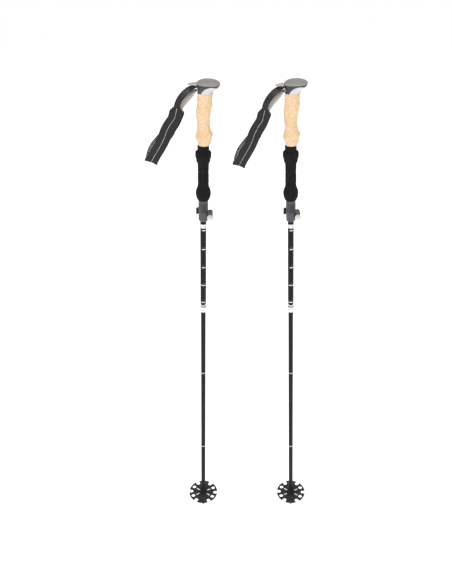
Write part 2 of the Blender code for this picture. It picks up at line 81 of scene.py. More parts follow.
class Look:
    """A procedural material, with short ways to add its nodes."""

    def __init__(self, name, rough=0.5, metal=0.0, coat=0.0, sheen=0.0, specular=0.5):
        self.mat = bpy.data.materials.new(name)
        self.mat.use_nodes = True
        self.tree = self.mat.node_tree
        self.shader = self.tree.nodes["Principled BSDF"]
        self.shader.inputs["Roughness"].default_value = rough
        self.shader.inputs["Metallic"].default_value = metal
        self.shader.inputs["Coat Weight"].default_value = coat
        self.shader.inputs["Sheen Weight"].default_value = sheen
        self.shader.inputs["Specular IOR Level"].default_value = specular
        self.coords = self.tree.nodes.new("ShaderNodeTexCoord").outputs["Object"]

    def node(self, kind, **values):
        made = self.tree.nodes.new(kind)
        for key, value in values.items():
            setattr(made, key, value)
        return made

    def link(self, a, b):
        self.tree.links.new(a, b)

    def scaled(self, scale, source=None):
        mapping = self.node("ShaderNodeMapping")
        mapping.inputs["Scale"].default_value = scale
        self.link(source or self.coords, mapping.inputs["Vector"])
        return mapping.outputs["Vector"]

    def noise(self, scale, detail=3.0, rough=0.55, vector=None):
        made = self.node("ShaderNodeTexNoise")
        made.inputs["Scale"].default_value = scale
        made.inputs["Detail"].default_value = detail
        made.inputs["Roughness"].default_value = rough
        self.link(vector or self.coords, made.inputs["Vector"])
        return made.outputs["Fac"]

    def cells(self, scale, feature="F1", output="Distance", vector=None):
        made = self.node("ShaderNodeTexVoronoi", feature=feature)
        made.inputs["Scale"].default_value = scale
        self.link(vector or self.coords, made.inputs["Vector"])
        return made.outputs[output]

    def wave(self, scale, vector=None, direction="Z"):
        made = self.node("ShaderNodeTexWave", wave_type="BANDS", bands_direction=direction)
        made.inputs["Scale"].default_value = scale
        self.link(vector or self.coords, made.inputs["Vector"])
        return made.outputs["Fac"]

    def ramp(self, fac, stops):
        made = self.node("ShaderNodeValToRGB")
        while len(made.color_ramp.elements) < len(stops):
            made.color_ramp.elements.new(0.5)
        for element, (at, colour) in zip(made.color_ramp.elements, stops):
            element.position = at
            element.color = colour if len(colour) == 4 else (*colour, 1.0)
        self.link(fac, made.inputs["Fac"])
        return made.outputs["Color"]

    def span(self, fac, low, high, to_low=0.0, to_high=1.0):
        made = self.node("ShaderNodeMapRange")
        for key, value in zip(("From Min", "From Max", "To Min", "To Max"),
                              (low, high, to_low, to_high)):
            made.inputs[key].default_value = value
        self.link(fac, made.inputs["Value"])
        return made.outputs["Result"]

    def mix(self, fac, a, b):
        made = self.node("ShaderNodeMix", data_type="RGBA")
        for socket, value in ((made.inputs[0], fac), (made.inputs[6], a), (made.inputs[7], b)):
            if isinstance(value, (int, float, tuple)):
                socket.default_value = value
            else:
                self.link(value, socket)
        return made.outputs[2]

    def maths(self, operation, a, b=0.0):
        made = self.node("ShaderNodeMath", operation=operation)
        for socket, value in ((made.inputs[0], a), (made.inputs[1], b)):
            if isinstance(value, (int, float)):
                socket.default_value = value
            else:
                self.link(value, socket)
        return made.outputs[0]

    def colour(self, source):
        self.link(source, self.shader.inputs["Base Color"])
        return self

    def rough(self, source, low, high):
        self.link(self.span(source, 0.0, 1.0, low, high), self.shader.inputs["Roughness"])
        return self

    def bump(self, height, distance, strength=1.0):
        made = self.node("ShaderNodeBump")
        made.inputs["Distance"].default_value = distance
        made.inputs["Strength"].default_value = strength
        self.link(height, made.inputs["Height"])
        self.link(made.outputs["Normal"], self.shader.inputs["Normal"])
        return self


def plain(name, dark, light, rough=(0.35, 0.5), metal=0.0, grain=900.0, depth=0.00004, coat=0.0,
          specular=0.5):
    """Moulded or coated surfaces: fine grain, a little mottling and uneven gloss."""
    look = Look(name, metal=metal, coat=coat, specular=specular)
    mottle = look.noise(60.0, 4.0)
    fine = look.noise(grain, 2.0)
    look.colour(look.ramp(mottle, [(0.3, srgb(dark)), (0.7, srgb(light))]))
    look.rough(mottle, *rough)
    look.bump(fine, depth, 0.35)
    return look.mat


def cork_look():
    look = Look("cork", specular=0.3)
    granule = look.node("ShaderNodeTexVoronoi")
    granule.inputs["Scale"].default_value = 330.0
    warp = look.noise(240.0, 2.0)
    shifted = look.node("ShaderNodeVectorMath", operation="ADD")
    spread = look.node("ShaderNodeVectorMath", operation="SCALE")
    look.link(warp, spread.inputs[0])
    spread.inputs["Scale"].default_value = 0.0016
    look.link(look.coords, shifted.inputs[0])
    look.link(spread.outputs[0], shifted.inputs[1])
    look.link(shifted.outputs[0], granule.inputs["Vector"])
    split = look.node("ShaderNodeSeparateColor")
    look.link(granule.outputs["Color"], split.inputs[0])
    base = look.ramp(split.outputs[0], [(0.0, srgb("dcb88e")), (0.35, srgb("e5c6a1")),
                                        (0.7, srgb("ebd0ae")), (1.0, srgb("e0bd96"))])
    broad = look.noise(38.0, 3.0)
    base = look.mix(look.span(broad, 0.52, 0.75, 0.0, 0.5), base, srgb("dca679"))
    fleck = look.cells(210.0, "SMOOTH_F1", "Distance", look.scaled((1, 1, 0.8)))
    scatter = look.noise(170.0, 4.0, 0.7)
    dark = look.maths("MULTIPLY", look.span(scatter, 0.66, 0.74), look.span(fleck, 0.45, 0.2))
    base = look.mix(dark, base, srgb("b87048"))
    pit = look.span(look.noise(520.0, 3.0, 0.7), 0.70, 0.76)
    base = look.mix(look.maths("MULTIPLY", pit, 0.75), base, srgb("96603e"))
    look.colour(base)
    look.rough(scatter, 0.62, 0.85)
    relief = look.maths("SUBTRACT", look.maths("MULTIPLY", granule.outputs["Distance"], 0.4), pit)
    look.bump(relief, 0.00025, 0.5)
    return look.mat


def foam_look():
    look = Look("foam", specular=0.08)
    pores = look.cells(900.0)
    soft = look.noise(70.0, 4.0)
    look.colour(look.ramp(soft, [(0.3, srgb("191819")), (0.7, srgb("242223"))]))
    look.rough(soft, 0.78, 0.95)
    look.bump(look.span(pores, 0.0, 0.5), 0.00018, 0.6)
    return look.mat


def shaft_look(name, dark="1b1a1b", light="292829"):
    """Satin dark coat with fine lengthwise drawing marks."""
    look = Look(name, specular=0.08)
    marks = look.noise(900.0, 2.0, 0.5, look.scaled((1, 1, 0.02)))
    mottle = look.noise(45.0, 3.0)
    look.colour(look.mix(look.span(marks, 0.3, 0.7), srgb(dark), srgb(light)))
    look.rough(mottle, 0.3, 0.42)
    look.bump(marks, 0.00002, 0.3)
    return look.mat


def weave_look(name, dark, light, sheen=0.3, size=0.0011, shine=0.7, specular=0.4):
    """Narrow fabric: a woven pattern laid along the strap with its own coordinates."""
    look = Look(name, sheen=sheen, specular=specular)
    uv = look.node("ShaderNodeUVMap")
    uv.uv_map = "strap"
    bands = 0.5 / size / 3.1416
    across = look.wave(bands, uv.outputs["UV"], "X")
    along = look.wave(bands, uv.outputs["UV"], "Y")
    threads = look.maths("MULTIPLY", across, along)
    tone = look.noise(90.0, 3.0)
    base = look.mix(look.span(threads, 0.0, 0.8), srgb(dark), srgb(light))
    base = look.mix(look.span(tone, 0.35, 0.75, 0.0, 0.25), base, srgb(dark))
    look.colour(base)
    look.rough(tone, shine - 0.1, shine + 0.15)
    look.bump(threads, 0.00022, 0.6)
    return look.mat


MATS = {
    "cork": cork_look(),
    "foam": foam_look(),
    "pad": plain("head_pad", "8c8a87", "989592", (0.6, 0.75), grain=1500.0, depth=0.00012,
                 specular=0.3),
    "core": plain("head_core", "3a3940", "494850", (0.4, 0.55), specular=0.35),
    "trim": plain("head_trim", "c2c3c7", "d4d4d6", (0.3, 0.45), metal=0.35, coat=0.2),
    "wedge": plain("strap_wedge", "a9a59e", "b7b3ab", (0.45, 0.6), specular=0.3),
    "shaft": shaft_look("shaft_coat"),
    "collar": plain("clamp_collar", "3e3e43", "4b4b51", (0.34, 0.48), grain=1400.0),
    "lever": plain("clamp_lever", "1e1e20", "2a2a2c", (0.4, 0.52), specular=0.3),
    "dark": plain("dark_plastic", "19191a", "222223", (0.4, 0.55), specular=0.25),
    "basket": plain("basket_plastic", "2e2d2f", "39383a", (0.5, 0.65), grain=1100.0,
                    specular=0.2),
    "silver": plain("knob_silver", "c4bdb3", "ddd6cc", (0.22, 0.34), metal=0.8),
    "steel": plain("steel", "8c8c8e", "a8a8aa", (0.25, 0.4), metal=1.0),
    "carbide": plain("carbide", "5c5c60", "77777b", (0.3, 0.45), metal=0.9),
    "white": plain("white_print", "dadada", "e8e8e8", (0.5, 0.62)),
    "faint": plain("faint_print", "77777a", "8a8a8c", (0.5, 0.62)),
    "ring": plain("ring_silver", "d2d2d4", "e2e2e4", (0.3, 0.42), metal=0.3),
    "cord": plain("cord_coat", "7a2c18", "93351d", (0.5, 0.65)),
    "webbing": weave_look("webbing_black", "141314", "232122", 0.05, 0.0010, 0.4, 0.45),
    "cover": weave_look("strap_cover", "2a282a", "383638", 0.1, 0.0009, 0.8, 0.15),
    "lining": weave_look("strap_lining", "b2aca3", "c8c2b9", 0.1, 0.0012, 0.85, 0.2),
    "stripe": weave_look("strap_stripe", "c4c0b4", "d8d4ca", 0.1, 0.0009, 0.7, 0.2),
    "thread": plain("thread", "d8d4ce", "ebe7e1", (0.6, 0.75), grain=3000.0, specular=0.2),
}


# ---------------------------------------------------------------- shapes

def made(name, verts, faces, matrix, look, smooth=True, edges=()):
    mesh = bpy.data.meshes.new(name)
    mesh.from_pydata([matrix @ Vector(v) for v in verts], list(edges), faces)
    obj = bpy.data.objects.new(name, mesh)
    bpy.context.scene.collection.objects.link(obj)
    if look is not None:
        mesh.materials.append(MATS[look])
    if smooth:
        mesh.shade_smooth()
    return obj


def tidy(obj, bevel=0.0, segments=2, angle=35.0):
    """Outward normals, softened edges and clean shading."""
    bm = bmesh.new()
    bm.from_mesh(obj.data)
    bmesh.ops.recalc_face_normals(bm, faces=bm.faces)
    bm.to_mesh(obj.data)
    bm.free()
    if bevel:
        mod = obj.modifiers.new("edge", "BEVEL")
        mod.width = bevel * MM
        mod.segments = segments
        mod.limit_method = "ANGLE"
        mod.angle_limit = math.radians(angle)
        mod.use_clamp_overlap = True
        mod.harden_normals = False
    obj.data.set_sharp_from_angle(angle=math.radians(angle))
    return obj


def turned(name, profile, matrix, look, steps=64, bevel=0.25, closed=True):
    """A turned body about the local Z axis, profile as (radius, height)."""
    verts = []
    faces = []
    count = len(profile)
    for k in range(steps):
        a = 2 * math.pi * k / steps
        for r, z in profile:
            verts.append((r * math.cos(a), r * math.sin(a), z))
    for k in range(steps):
        m = (k + 1) % steps
        for i in range(count if closed else count - 1):
            j = (i + 1) % count
            faces.append((k * count + i, m * count + i, m * count + j, k * count + j))
    obj = made(name, verts, faces, matrix, look)
    if not closed:
        bm = bmesh.new()
        bm.from_mesh(obj.data)
        bmesh.ops.remove_doubles(bm, verts=bm.verts, dist=0.000001)
        bm.to_mesh(obj.data)
        bm.free()
    return tidy(obj, bevel)


def smooth_profile(points, per=5):
    """A finer profile through the given points."""
    out = []
    for k in range((len(points) - 1) * per + 1):
        p = catmull([(r, 0, z) for r, z in points], k / ((len(points) - 1) * per))
        out.append((p.x, p.z))
    return out


def catmull(points, t):
    spans = len(points) - 1
    u = min(max(t, 0.0), 1.0) * spans
    i = min(int(u), spans - 1)
    f = u - i
    p1 = Vector(points[i])
    p2 = Vector(points[i + 1])
    p0 = Vector(points[i - 1]) if i > 0 else p1 * 2 - p2
    p3 = Vector(points[i + 2]) if i + 2 <= spans else p2 * 2 - p1
    return 0.5 * (2 * p1 + (p2 - p0) * f + (2 * p0 - 5 * p1 + 4 * p2 - p3) * f * f
                  + (3 * p1 - p0 - 3 * p2 + p3) * f ** 3)


def outline(z, x_left, x_right, y_half, count, power):
    centre = (x_left + x_right) / 2
    half = (x_right - x_left) / 2
    points = []
    for k in range(count):
        a = 2 * math.pi * k / count
        c = math.cos(a)
        s = math.sin(a)
        points.append((centre + half * math.copysign(abs(c) ** (2 / power), c),
                       y_half * math.copysign(abs(s) ** (2 / power), s), z))
    return points


def lofted(name, sections, matrix, look, bore=None, count=72, per=4, power=2.05, bevel=0.4):
    """A hand-shaped body lofted up through smoothly varying outlines."""
    steps = (len(sections) - 1) * per
    rows = []
    for k in range(steps + 1):
        t = k / steps
        p = catmull([s[:3] for s in sections], t)
        y = catmull([(s[3], 0, 0) for s in sections], t).x
        rows.append(outline(p[0], p[1], p[2], y, count, power))
    if bore is not None:
        rows.append(outline(sections[-1][0], -bore, bore, bore, count, 2.0))
        rows.append(outline(sections[0][0], -bore, bore, bore, count, 2.0))
    verts = [v for row in rows for v in row]
    faces = []
    total = len(rows)
    for i in range(total if bore is not None else total - 1):
        n = (i + 1) % total
        for j in range(count):
            m = (j + 1) % count
            faces.append((i * count + j, i * count + m, n * count + m, n * count + j))
    if bore is None:
        faces.append(tuple(reversed(range(count))))
        faces.append(tuple(range((total - 1) * count, total * count)))
    return tidy(made(name, verts, faces, matrix, look), bevel)


def carve(obj, shape, operation="DIFFERENCE"):
    """Cuts with, joins or keeps a throwaway shape, and applies it."""
    mod = obj.modifiers.new("cut", "BOOLEAN")
    mod.operation = operation
    mod.solver = "EXACT"
    mod.object = shape
    graph = bpy.context.evaluated_depsgraph_get()
    mesh = bpy.data.meshes.new_from_object(obj.evaluated_get(graph))
    obj.modifiers.clear()
    obj.data = mesh
    return obj


def drop(*objs):
    for obj in objs:
        bpy.data.objects.remove(obj, do_unlink=True)


def recoat(obj, look, bevel):
    """Gives a carved body its one material and softened edges."""
    obj.data.materials.clear()
    obj.data.materials.append(MATS[look])
    return tidy(obj, bevel)


def cylinder(radius, low, high, matrix, steps=48):
    bottom = [(radius * math.cos(2 * math.pi * k / steps), radius * math.sin(2 * math.pi * k / steps))
              for k in range(steps)]
    verts = [(x, y, low) for x, y in bottom] + [(x, y, high) for x, y in bottom]
    faces = [tuple(reversed(range(steps))), tuple(range(steps, 2 * steps))]
    for k in range(steps):
        m = (k + 1) % steps
        faces.append((k, m, m + steps, k + steps))
    return made("tool", verts, faces, matrix, None, smooth=False)


def block(low, high, matrix):
    x0, y0, z0 = low
    x1, y1, z1 = high
    verts = [(x0, y0, z0), (x1, y0, z0), (x1, y1, z0), (x0, y1, z0),
             (x0, y0, z1), (x1, y0, z1), (x1, y1, z1), (x0, y1, z1)]
    faces = [(0, 3, 2, 1), (4, 5, 6, 7), (0, 1, 5, 4), (1, 2, 6, 5), (2, 3, 7, 6), (3, 0, 4, 7)]
    return made("tool", verts, faces, matrix, None, smooth=False)


def place(obj, side, body, node=None, slot=None):
    """Sets a finished piece on its pole, riding its body and standing for its CAD node."""
    obj.data.transform(POLES[side] @ LOCAL.inverted())
    obj.data.update()
    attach(obj, side + body)
    if node:
        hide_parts(*[side + n for n in ([node] if isinstance(node, str) else node)])
    return obj


# ---------------------------------------------------------------- the strap

NEAR = [(-14.6, 0, 1290.9), (-24.5, -1.0, 1288.0), (-36.5, -2.5, 1279.3), (-47.0, -4.0, 1267.0),
        (-52.8, -5.5, 1255.5), (-56.0, -6.5, 1241.0), (-60.5, -7.5, 1225.3), (-70.8, -8.0, 1209.7),
        (-77.8, -8.0, 1196.2), (-82.2, -8.0, 1184.0), (-89.3, -8.0, 1169.2), (-98.5, -7.0, 1152.7),
        (-106.0, -5.5, 1140.0), (-112.5, -4.2, 1127.5)]
FAR = [(-112.0, 2.2, 1128.0), (-109.0, 4.6, 1141.5), (-102.5, 7.0, 1156.0), (-90.5, 8.5, 1171.0),
       (-78.5, 9.0, 1184.5), (-72.0, 9.0, 1197.0), (-63.5, 9.0, 1210.5), (-57.5, 8.6, 1224.0),
       (-53.0, 8.0, 1236.0), (-48.0, 6.5, 1247.0), (-39.5, 4.5, 1258.5), (-31.0, 2.5, 1268.5),
       (-22.5, 0.8, 1277.5), (-15.0, 0, 1283.2)]
TWIST = [(0.0, 4.0), (0.05, 22.0), (0.12, 55.0), (0.25, 92.0), (0.4, 106.0), (1.0, 110.0)]


def strap_width(t):
    """Half width: narrow webbing near the head, padded and wide below."""
    return 7.0 + 7.4 * min(max((t - 0.34) / 0.05, 0.0), 1.0)


def strap_twist(t):
    for (a, low), (b, high) in zip(TWIST, TWIST[1:]):
        if t <= b:
            return math.radians(low + (high - low) * (t - a) / (b - a))
    return math.radians(TWIST[-1][1])


def strap_across(down, t):
    """Direction across the band where it runs down along the given direction."""
    flat = Vector((down.x, 0, down.z)).normalized()
    outer = Vector((flat.z, 0, -flat.x))
    phi = strap_twist(t)
    across = Vector((0, 1, 0)) * math.cos(phi) + outer * math.sin(phi)
    return (across - down * across.dot(down)).normalized()


def strap_stations(fine=STRAP_STEPS):
    """Centre, half width, across, t and leg (0 near, 1 end, 2 far, 3 pin)."""
    out = []
    for k in range(fine + 1):
        t = k / fine
        ahead = catmull(NEAR, min(t + 0.01, 1.0)) - catmull(NEAR, max(t - 0.01, 0.0))
        out.append((catmull(NEAR, t), strap_width(t), strap_across(ahead.normalized(), t), t, 0))
    a = Vector(NEAR[-1])
    b = Vector(FAR[0])
    down = (a - Vector(NEAR[-2])).normalized()
    across = strap_across(down, 1.0)
    for k in range(1, FOLD_STEPS + 1):
        s = math.pi * k / (FOLD_STEPS + 1)
        point = (a + b) / 2 + (a - b) / 2 * math.cos(s) + down * 3.4 * math.sin(s)
        out.append((point, strap_width(1.0), across, 1.0, 1))
    for k in range(fine + 1):
        t = 1 - k / fine
        ahead = catmull(FAR, max(k / fine - 0.01, 0.0)) - catmull(FAR, min(k / fine + 0.01, 1.0))
        out.append((catmull(FAR, k / fine), strap_width(t), strap_across(ahead.normalized(), t), t,
                    2))
    for k in range(1, PIN_STEPS + 1):
        s = math.radians(-115 + 212 * k / (PIN_STEPS + 0.3))
        point = Vector((PIN.x + 3.4 * math.cos(s), 0, PIN.z + 3.4 * math.sin(s)))
        out.append((point, 7.0, Vector((0, 1, 0)), 0.0, 3))
    return out


def strap_frames(stations):
    """Centre, half width, across and outward direction, length run, leg and t, per station."""
    count = len(stations)
    out = []
    run = 0.0
    for i, (centre, half, across, t, leg) in enumerate(stations):
        if i:
            run += (centre - stations[i - 1][0]).length
        tangent = (stations[(i + 1) % count][0] - stations[i - 1][0]).normalized()
        across = (across - tangent * across.dot(tangent)).normalized()
        out.append((centre, half, across, across.cross(tangent).normalized(), run, leg, t))
    return out


def ribbon(name, frames, matrix, look, low, high, inset, depth_a, depth_b, closed=False, width=None,
           offset=0.0, crown=0.0, count=9):
    """A band that follows the strap: from depth_a to depth_b along its outward direction."""
    verts = []
    uvs = []
    rows = frames[low:high]
    ring = 2 * count
    for centre, half, across, out, run, _, _ in rows:
        w = (width if width is not None else half - inset)
        for k in range(count):
            s = 2 * k / (count - 1) - 1
            lift = crown * (1 - s * s)
            verts.append(centre + across * (offset + s * w) + out * (depth_a - lift))
            uvs.append(((offset + s * w) * MM, run * MM))
        for k in range(count):
            s = 1 - 2 * k / (count - 1)
            lift = crown * (1 - s * s)
            verts.append(centre + across * (offset + s * w) + out * (depth_b + lift))
            uvs.append(((offset + s * w) * MM, run * MM))
    faces = []
    total = len(rows)
    for i in range(total if closed else total - 1):
        n = (i + 1) % total
        for j in range(ring):
            m = (j + 1) % ring
            faces.append((i * ring + j, n * ring + j, n * ring + m, i * ring + m))
    if not closed:
        faces.append(tuple(range(ring)))
        faces.append(tuple(reversed(range((total - 1) * ring, total * ring))))
    obj = made(name, verts, faces, matrix, look)
    tidy(obj, 0.0, angle=50)
    layer = obj.data.uv_layers.new(name="strap")
    for loop in obj.data.loops:
        layer.data[loop.index].uv = uvs[loop.vertex_index]
    return obj


def stitches(name, frames, matrix, low, high, offset, depth, pitch=4.2, dash=3.0, radius=0.55):
    """A row of short threads lying on the strap."""
    verts = []
    faces = []
    rows = frames[low:high]
    begin = rows[0][4]
    end = rows[-1][4]
    at = begin + 1.0
    i = 0
    while at + dash < end:
        ends = []
        for s in (at, at + dash / 2, at + dash):
            while i + 1 < len(rows) - 1 and rows[i + 1][4] < s:
                i += 1
            j = i
            while rows[j][4] > s and j > 0:
                j -= 1
            a = rows[j]
            b = rows[j + 1]
            f = (s - a[4]) / max(b[4] - a[4], 0.0001)
            centre = a[0].lerp(b[0], f)
            across = a[2].lerp(b[2], f).normalized()
            out = a[3].lerp(b[3], f).normalized()
            ends.append((centre + across * offset + out * depth, across, out))
        base = len(verts)
        for q, (p, across, out) in enumerate(ends):
            r = radius * (1.0 if q == 1 else 0.6)
            for k in range(6):
                w = math.pi / 3 * k
                verts.append(p + across * (r * math.cos(w)) + out * (r * 0.8 * math.sin(w)))
        for q in range(2):
            for k in range(6):
                m = (k + 1) % 6
                faces.append((base + q * 6 + k, base + q * 6 + m, base + q * 6 + 6 + m,
                              base + q * 6 + 6 + k))
        faces.append(tuple(base + k for k in reversed(range(6))))
        faces.append(tuple(base + 12 + k for k in range(6)))
        at += pitch
    return tidy(made(name, verts, faces, matrix, "thread"))


def build_strap(side, matrix):
    frames = strap_frames(strap_stations())
    total = len(frames)
    # The outward direction is the outside of the loop on the near leg.
    body = ribbon(side + "strap_core", frames, matrix, "webbing", 0, total, 0.5, -0.55, 0.55,
                  closed=True)
    place(body, side, "strap", "wrist_strap", "wrist_strap")
    near_count = STRAP_STEPS + 1
    wide = next(i for i, f in enumerate(frames[:near_count]) if f[1] >= 9.0)
    far_start = near_count + FOLD_STEPS
    far_wide = next(i for i in range(far_start, total) if frames[i][1] < 9.0)
    cover = ribbon(side + "strap_cover", frames, matrix, "cover", wide, far_wide, 0.0, 0.35, 0.95,
                   crown=0.35)
    place(cover, side, "strap")
    cover_in = ribbon(side + "strap_padding", frames, matrix, "cover", wide, far_wide, 0.6, -1.1,
                      -0.5, crown=0.25)
    place(cover_in, side, "strap")
    lining = ribbon(side + "strap_lining", frames, matrix, "lining", far_wide - 2,
                    total - PIN_STEPS - 1, 0.7, -1.15, -0.5, crown=0.2)
    place(lining, side, "strap")
    seam = stitches(side + "strap_stitch_centre", frames, matrix, wide, near_count + 2, 0.0, 1.35)
    place(seam, side, "strap")
    edge = ribbon(side + "strap_stripe", frames, matrix, "stripe", far_start, far_wide, 0.0, -1.5,
                  -1.2, width=1.1, offset=9.6, count=3)
    place(edge, side, "strap")
    seam = stitches(side + "strap_edge", frames, matrix, far_start, far_wide, 12.6, -1.3)
    place(seam, side, "strap")


# ---------------------------------------------------------------- one pole

CORK = [(1167.0, -11.5, 13.9, 12.6), (1173, -12.5, 16.4, 13.4), (1179, -15.0, 17.8, 14.1),
        (1184.6, -17.4, 19.0, 14.6), (1191, -15.9, 21.0, 14.3), (1198, -13.9, 17.2, 13.5),
        (1206, -13.0, 14.9, 13.0), (1216, -13.4, 13.9, 13.3), (1227, -14.6, 14.4, 14.0),
        (1239, -15.3, 16.2, 14.3), (1248, -14.3, 18.0, 14.1), (1255, -13.4, 19.4, 13.9),
        (1262, -13.0, 18.7, 13.9), (1270, -12.8, 19.2, 14.2), (1279.0, -13.0, 19.6, 14.5)]
HEAD = [(1279.3, -13.0, 19.6, 14.5), (1285, -13.6, 24.4, 15.4), (1291, -14.1, 31.2, 16.5),
        (1295.6, -14.0, 35.0, 17.0)]
PAD = [(1295.9, -14.0, 35.0, 17.0), (1298.6, -13.9, 34.9, 16.9), (1301.4, -12.4, 33.4, 15.9),
       (1304.2, -8.4, 29.6, 13.2), (1306.2, -2.4, 23.4, 9.2), (1307.1, 4.6, 16.6, 4.6)]
FOAM = [(12.6, 1166.7), (12.7, 1156), (13.8, 1153.4), (16.8, 1151.4), (17.4, 1146.5),
        (17.1, 1140), (15.8, 1136.6), (15.0, 1130.5), (13.2, 1126), (12.3, 1122.5), (12.1, 1107.6)]
FOAM_MID = [(12.1, 1102.4), (12.3, 1079.6)]
FOAM_LOW = [(12.4, 1074.4), (12.9, 1069.5), (15.0, 1065), (16.6, 1059), (16.9, 1053.5),
            (16.0, 1046.8), (14.1, 1041.5), (12.6, 1038.4)]


def along_y(matrix, x, z, y=0.0):
    """Local frame whose +Z points towards the front, at a bolt or pin."""
    return matrix @ Matrix.Translation((x, y, z)) @ Matrix.Rotation(math.radians(90), 4, "X")


def build_grip(side, matrix):
    place(lofted(side + "cork_skin", CORK, matrix, "cork", bore=8.8, bevel=0.8), side, "handle",
          "cork_grip", "cork_grip")
    profile = smooth_profile(FOAM, 4) + [(11.5, 1105.6), (11.4, 1105.0), (11.5, 1104.4)]
    profile += smooth_profile(FOAM_MID, 4) + [(11.7, 1077.6), (11.6, 1077.0), (11.7, 1076.4)]
    profile += smooth_profile(FOAM_LOW, 4) + [(8.8, 1038.4), (8.8, 1166.7)]
    place(turned(side + "foam_skin", profile, matrix, "foam", 72, 0.5), side, "handle", "foam_grip",
          "foam_grip")

    pin = along_y(matrix, PIN.x, PIN.z)
    core = lofted(side + "head_body", HEAD, matrix, "core", per=6, bevel=0)
    trim = lofted(side + "head_crescent", HEAD, matrix, "trim", per=6, bevel=0)
    around = along_y(matrix, 17, 1271)
    wheel = cylinder(22.8, -30, 30, around, 96)
    inner = block((-14, -8.7, 1255), (20.0, 8.7, 1315), matrix)
    carve(wheel, inner)
    carve(core, wheel)
    small = cylinder(22.5, -30, 30, around, 96)
    inner_big = block((-14, -9.0, 1255), (20.3, 9.0, 1315), matrix)
    carve(small, inner_big)
    carve(trim, small, "INTERSECT")
    plug = cylinder(7.2, 1264.5, 1281.0, matrix)
    carve(core, plug, "UNION")
    recess = cylinder(6.4, -10.3, 10.3, pin)
    mouth = block((-23, -10.3, 1279.1), (-11.5, 10.3, 1293.1), matrix)
    bore = cylinder(1.95, -30, 30, pin)
    for tool in (recess, mouth, bore):
        carve(core, tool)
    drop(wheel, inner, small, inner_big, plug, recess, mouth, bore)
    for obj, look in ((core, "core"), (trim, "trim")):
        recoat(obj, look, 0.35)
    place(core, side, "handle", "head_core", "head_core")
    place(trim, side, "handle", "head_trim", "head_trim")
    pad = lofted(side + "head_cushion", PAD, matrix, "pad", bevel=0.6)
    place(pad, side, "handle", "head_pad", "head_pad")

    verts = []
    rows = 10
    for k in range(rows + 1):
        t = k / rows
        x = -14.6 - 17.4 * t
        top = 1299.6 - 4.0 * t ** 1.4
        bottom = 1295.6 - 1.2 * t
        half = 8.0 - 3.0 * t * t
        for j in range(12):
            s = j / 11 * 2 - 1
            verts.append((x, s * half, top - 1.1 * s * s * (1 - 0.4 * t)))
        for j in range(12):
            s = 1 - j / 11 * 2
            verts.append((x, s * half, min(bottom, top - 1.4)))
    faces = []
    for k in range(rows):
        for j in range(24):
            m = (j + 1) % 24
            faces.append((k * 24 + j, k * 24 + m, k * 24 + 24 + m, k * 24 + 24 + j))
    faces.append(tuple(range(24)))
    faces.append(tuple(reversed(range(rows * 24, rows * 24 + 24))))
    place(tidy(made(side + "wedge_skin", verts, faces, matrix, "wedge"), 0.4), side, "handle",
          "strap_wedge", "strap_wedge")
    pin_profile = [(0.0001, 13.2), (1.6, 13.2), (1.6, -13.2), (0.0001, -13.2)]
    place(turned(side + "pin_skin", pin_profile, pin, "steel", 32, 0.2, closed=False), side,
          "handle", "strap_pin", "strap_pin")


